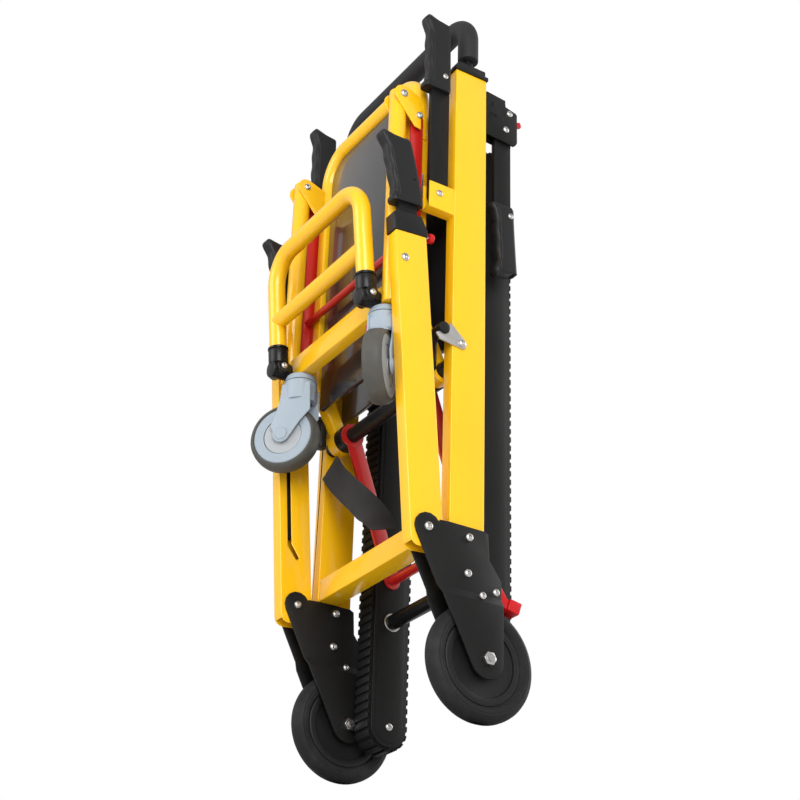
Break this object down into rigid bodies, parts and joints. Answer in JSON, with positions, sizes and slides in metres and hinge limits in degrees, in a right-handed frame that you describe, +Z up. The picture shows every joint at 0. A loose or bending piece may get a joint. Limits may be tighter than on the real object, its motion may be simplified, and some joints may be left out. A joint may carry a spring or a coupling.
{
  "type": "stair chair",
  "caption": "Folding evacuation stair chair on rear wheels, with stair tracks, swing-up seat, casters, footrest and lifting handles.",
  "frame": {"origin": "middle of the bounding box, on the floor under the rear wheels", "axes": "+Z up, +X to the right seen from the front, +Y to the back"},
  "size_m": [0.3616, 0.26, 1.077],
  "materials": {
    "yellow_paint": "glossy",
    "black_paint": "satin",
    "black_plastic": "satin",
    "black_foam": "matt",
    "black_rubber": "matt",
    "grey_plastic": "satin",
    "red_paint": "glossy",
    "panel": "glossy",
    "webbing": "matt"
  },
  "bodies": {
    "frame": {"upright_left": "yellow_paint", "upright_cap_left": "black_plastic", "fork_plate_outer_left": "black_paint", "fork_plate_inner_left": "black_paint", "lift_bracket_left": "black_paint", "upright_right": "yellow_paint", "upright_cap_right": "black_plastic", "fork_plate_outer_right": "black_paint", "fork_plate_inner_right": "black_paint", "lift_bracket_right": "black_paint", "lower_crossbar": "yellow_paint", "upper_crossbar": "black_paint", "seat_axle": "black_paint", "back_panel": "panel", "safety_belt": "webbing"},
    "rear_wheel_left": {"rear_wheel_left": "black_rubber"},
    "brake_pedal_left": {"brake_pedal_left": "red_paint"},
    "armrest_left": {"armrest_left": "black_plastic"},
    "lift_handle_left": {"lift_handle_left": "black_plastic"},
    "lift_release_left": {"lift_release_left": "red_paint"},
    "lift_arm_left": {"lift_arm_left": "yellow_paint", "arm_sleeve_left": "black_plastic"},
    "arm_extension_left": {"arm_extension_left": "black_plastic"},
    "plunger_left": {"plunger_knob_left": "red_paint"},
    "caster_left": {"caster_fork_left": "grey_plastic"},
    "caster_wheel_left": {"caster_wheel_left": "grey_plastic"},
    "pulley_lower_left": {"track_pulley_lower_left": "grey_plastic"},
    "pulley_upper_left": {"track_pulley_upper_left": "grey_plastic"},
    "rear_wheel_right": {"rear_wheel_right": "black_rubber"},
    "brake_pedal_right": {"brake_pedal_right": "red_paint"},
    "armrest_right": {"armrest_right": "black_plastic"},
    "lift_handle_right": {"lift_handle_right": "black_plastic"},
    "lift_release_right": {"lift_release_right": "red_paint"},
    "lift_arm_right": {"lift_arm_right": "yellow_paint", "arm_sleeve_right": "black_plastic"},
    "arm_extension_right": {"arm_extension_right": "black_plastic"},
    "plunger_right": {"plunger_knob_right": "red_paint"},
    "caster_right": {"caster_fork_right": "grey_plastic"},
    "caster_wheel_right": {"caster_wheel_right": "grey_plastic"},
    "pulley_lower_right": {"track_pulley_lower_right": "grey_plastic"},
    "pulley_upper_right": {"track_pulley_upper_right": "grey_plastic"},
    "push_handle": {"push_handle_tube": "black_paint", "push_handle_sleeve": "black_foam"},
    "seat": {"seat_frame": "yellow_paint", "seat_board": "panel", "hinge_plate_left": "yellow_paint", "hinge_plate_right": "yellow_paint"},
    "legs": {"leg_left": "yellow_paint", "leg_right": "yellow_paint", "leg_crossbar": "yellow_paint"},
    "footrest": {"footrest_loop": "yellow_paint", "footrest_clamp_left": "black_plastic", "footrest_clamp_right": "black_plastic"},
    "lock": {"lock_frame": "red_paint"},
    "tracks": {"track_frame_left": "black_paint", "track_frame_right": "black_paint", "track_belt_left": "black_rubber", "track_belt_right": "black_rubber", "track_hinge_tube": "black_paint"},
    "strut": {"track_strut": "red_paint"}
  },
  "joints": [
    {"name": "rear_wheel_spin_left", "type": "hinge", "parent": "frame", "child": "rear_wheel_left", "pos_m": [-0.1625, 0.05354, 0.075], "axis": [1, 0, 0], "continuous": true},
    {"name": "brake_pedal_hinge_left", "type": "hinge", "parent": "frame", "child": "brake_pedal_left", "pos_m": [-0.1625, 0.06304, 0.1715], "axis": [1, 0, 0], "range_deg": [-10, 25]},
    {"name": "armrest_hinge_left", "type": "hinge", "parent": "frame", "child": "armrest_left", "pos_m": [-0.1635, -0.02146, 0.7265], "axis": [1, 0, 0], "range_deg": [0, 90.01]},
    {"name": "lift_handle_hinge_left", "type": "hinge", "parent": "frame", "child": "lift_handle_left", "pos_m": [-0.1635, 0.08554, 0.882], "axis": [1, 0, 0], "range_deg": [0, 90]},
    {"name": "lift_release_hinge_left", "type": "hinge", "parent": "frame", "child": "lift_release_left", "pos_m": [-0.1533, 0.09404, 0.913], "axis": [1, 0, 0], "range_deg": [-10, 20]},
    {"name": "lift_arm_hinge_left", "type": "hinge", "parent": "frame", "child": "lift_arm_left", "pos_m": [-0.1625, -0.03146, 0.229], "axis": [1, 0, 0], "range_deg": [0, 89]},
    {"name": "arm_extension_slide_left", "type": "slide", "parent": "lift_arm_left", "child": "arm_extension_left", "axis": [0, -0.0837, 0.9965], "range_m": [0, 0.15]},
    {"name": "plunger_pull_left", "type": "slide", "parent": "lift_arm_left", "child": "plunger_left", "axis": [0, 0.9965, 0.0837], "range_m": [0, 0.006], "stiffness_N_per_m": 600},
    {"name": "caster_swivel_left", "type": "hinge", "parent": "legs", "child": "caster_left", "pos_m": [-0.107, -0.07046, 0.5497], "axis": [0, 0, 1], "range_deg": [-8, 192]},
    {"name": "caster_spin_left", "type": "hinge", "parent": "caster_left", "child": "caster_wheel_left", "pos_m": [-0.12079, -0.08203, 0.4557], "axis": [0.6428, -0.766, 0], "continuous": true},
    {"name": "pulley_spin_lower_left", "type": "hinge", "parent": "tracks", "child": "pulley_lower_left", "pos_m": [-0.12, 0.08954, 0.068], "axis": [1, 0, 0], "continuous": true},
    {"name": "pulley_spin_upper_left", "type": "hinge", "parent": "tracks", "child": "pulley_upper_left", "pos_m": [-0.12, 0.08954, 0.832], "axis": [1, 0, 0], "continuous": true},
    {"name": "rear_wheel_spin_right", "type": "hinge", "parent": "frame", "child": "rear_wheel_right", "pos_m": [0.1625, 0.05354, 0.075], "axis": [1, 0, 0], "continuous": true},
    {"name": "brake_pedal_hinge_right", "type": "hinge", "parent": "frame", "child": "brake_pedal_right", "pos_m": [0.1625, 0.06304, 0.1715], "axis": [1, 0, 0], "range_deg": [-10, 25]},
    {"name": "armrest_hinge_right", "type": "hinge", "parent": "frame", "child": "armrest_right", "pos_m": [0.1635, -0.02146, 0.7265], "axis": [1, 0, 0], "range_deg": [0, 90.01]},
    {"name": "lift_handle_hinge_right", "type": "hinge", "parent": "frame", "child": "lift_handle_right", "pos_m": [0.1635, 0.08554, 0.882], "axis": [1, 0, 0], "range_deg": [0, 90]},
    {"name": "lift_release_hinge_right", "type": "hinge", "parent": "frame", "child": "lift_release_right", "pos_m": [0.1533, 0.09404, 0.913], "axis": [1, 0, 0], "range_deg": [-10, 20]},
    {"name": "lift_arm_hinge_right", "type": "hinge", "parent": "frame", "child": "lift_arm_right", "pos_m": [0.1625, -0.03146, 0.229], "axis": [1, 0, 0], "range_deg": [0, 89]},
    {"name": "arm_extension_slide_right", "type": "slide", "parent": "lift_arm_right", "child": "arm_extension_right", "axis": [0, -0.0837, 0.9965], "range_m": [0, 0.15]},
    {"name": "plunger_pull_right", "type": "slide", "parent": "lift_arm_right", "child": "plunger_right", "axis": [0, 0.9965, 0.0837], "range_m": [0, 0.006], "stiffness_N_per_m": 600},
    {"name": "caster_swivel_right", "type": "hinge", "parent": "legs", "child": "caster_right", "pos_m": [0.119, -0.07046, 0.5497], "axis": [0, 0, 1], "range_deg": [-168, 10]},
    {"name": "caster_spin_right", "type": "hinge", "parent": "caster_right", "child": "caster_wheel_right", "pos_m": [0.13173, -0.08318, 0.4557], "axis": [0.7071, 0.7071, 0], "continuous": true},
    {"name": "pulley_spin_lower_right", "type": "hinge", "parent": "tracks", "child": "pulley_lower_right", "pos_m": [0.12, 0.08954, 0.068], "axis": [1, 0, 0], "continuous": true},
    {"name": "pulley_spin_upper_right", "type": "hinge", "parent": "tracks", "child": "pulley_upper_right", "pos_m": [0.12, 0.08954, 0.832], "axis": [1, 0, 0], "continuous": true},
    {"name": "push_handle_slide", "type": "slide", "parent": "frame", "child": "push_handle", "axis": [0, 0, 1], "range_m": [0, 0.25]},
    {"name": "seat_fold", "type": "hinge", "parent": "frame", "child": "seat", "pos_m": [0, 0.01154, 0.478], "axis": [1, 0, 0], "range_deg": [0, 78]},
    {"name": "leg_fold", "type": "hinge", "parent": "seat", "child": "legs", "pos_m": [0, -0.07296, 0.8895], "axis": [1, 0, 0], "range_deg": [-78, 0]},
    {"name": "lock_hinge", "type": "hinge", "parent": "seat", "child": "lock", "pos_m": [0, -0.04546, 0.862], "axis": [1, 0, 0], "range_deg": [-78, 0]},
    {"name": "footrest_hinge", "type": "hinge", "parent": "legs", "child": "footrest", "pos_m": [0, -0.10046, 0.56], "axis": [1, 0, 0], "range_deg": [0, 84]},
    {"name": "track_hinge", "type": "hinge", "parent": "frame", "child": "tracks", "pos_m": [0, 0.08954, 0.215], "axis": [1, 0, 0], "range_deg": [-40, 0]},
    {"name": "strut_hinge", "type": "hinge", "parent": "frame", "child": "strut", "pos_m": [0, 0.01154, 0.478], "axis": [1, 0, 0], "range_deg": [0, 64]}
  ],
  "couplings": [
    {"joint": "leg_fold", "follows": "seat_fold", "ratio": -1},
    {"joint": "lock_hinge", "follows": "seat_fold", "ratio": -1},
    {"joint": "strut_hinge", "follows": "track_hinge", "ratio": -1.6},
    {"joint": "lift_arm_hinge_left", "follows": "seat_fold", "ratio": 1.141},
    {"joint": "armrest_hinge_left", "follows": "seat_fold", "ratio": 1.154},
    {"joint": "lift_arm_hinge_right", "follows": "seat_fold", "ratio": 1.141},
    {"joint": "armrest_hinge_right", "follows": "seat_fold", "ratio": 1.154}
  ]
}
